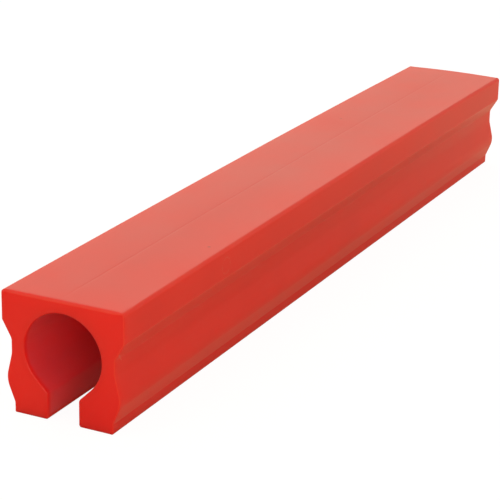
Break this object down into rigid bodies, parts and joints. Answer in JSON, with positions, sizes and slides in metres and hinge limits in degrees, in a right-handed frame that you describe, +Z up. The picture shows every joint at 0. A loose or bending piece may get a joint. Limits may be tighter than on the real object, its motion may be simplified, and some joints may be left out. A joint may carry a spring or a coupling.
{
  "type": "rail cap",
  "caption": "Long flat-topped plastic bar with grooved sides and a keyhole bore open underneath, which slides over a round rail standing on a web to cushion it or take its wear.",
  "frame": {"origin": "middle of the flat underside, halfway along the length and on the slot's centre plane", "axes": "+Z up from the open underside to the flat top, Y along the length and the bore, X across the width"},
  "size_m": [0.079, 0.6, 0.074],
  "materials": {
    "red_polyurethane": "satin, slightly translucent"
  },
  "bodies": {
    "root": {"rail_cap": "red_polyurethane"}
  },
  "joints": []
}
